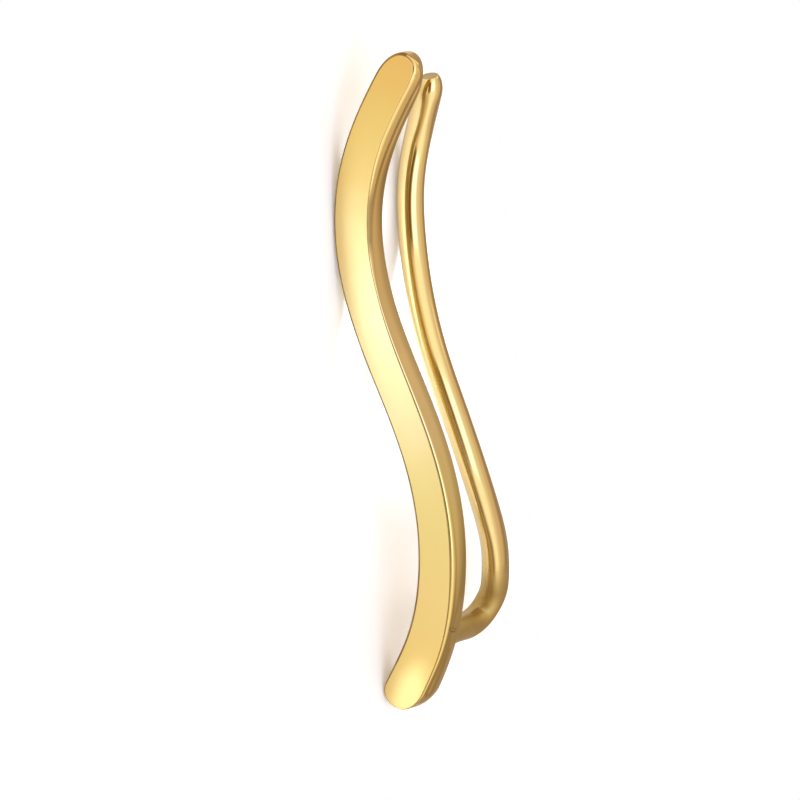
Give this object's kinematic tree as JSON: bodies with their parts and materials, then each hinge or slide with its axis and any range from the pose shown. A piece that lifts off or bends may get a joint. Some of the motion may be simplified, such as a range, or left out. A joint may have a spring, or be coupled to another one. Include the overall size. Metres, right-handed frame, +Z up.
{
  "type": "ear climber",
  "caption": "Slim wavy polished gold bar that climbs the front of the ear, with a round ear wire soldered behind it that passes through the piercing and grips the ear from behind.",
  "frame": {"origin": "centre of the climber's footprint, on the surface it rests on", "axes": "+X runs along the bar from its tip to its foot, -Y is the way the bar's front face looks, +Z is up from the surface the climber lies on, on its side"},
  "size_m": [0.0254, 0.0062, 0.0039],
  "materials": {
    "gold": "mirror-polished gold plating"
  },
  "bodies": {
    "root": {"ear_climber": "gold"}
  },
  "joints": []
}
